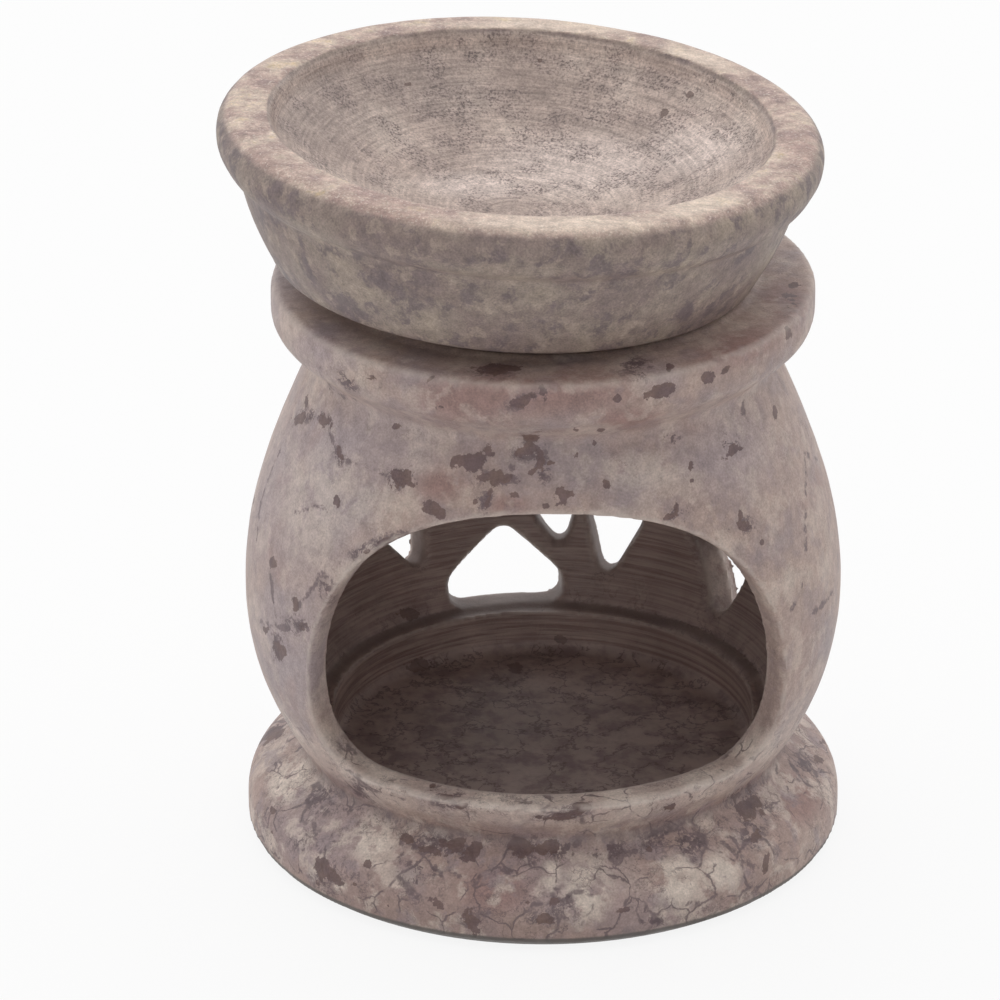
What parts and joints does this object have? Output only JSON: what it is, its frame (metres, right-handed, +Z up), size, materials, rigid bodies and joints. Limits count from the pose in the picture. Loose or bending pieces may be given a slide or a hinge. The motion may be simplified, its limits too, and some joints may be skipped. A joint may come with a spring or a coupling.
{
  "type": "essential oil burner",
  "caption": "Turned soapstone oil burner: a barrel body with an arched candle mouth, pierced back vents and a loose oil dish that seats in its flue.",
  "frame": {"origin": "middle of the body's flat underside, on the axis that the body is turned about", "axes": "+Z up along the turning axis, -Y out of the arched candle mouth, +X to the right as the mouth is faced"},
  "size_m": [0.0821, 0.0798, 0.1023],
  "materials": {
    "body_soapstone": "satin",
    "dish_soapstone": "satin"
  },
  "bodies": {
    "body": {"burner_body": "body_soapstone"},
    "dish": {"oil_dish": "dish_soapstone"}
  },
  "joints": [
    {"name": "dish_lift", "type": "slide", "parent": "body", "child": "dish", "axis": [0, 0, 1], "range_m": [0, 0.06]}
  ]
}
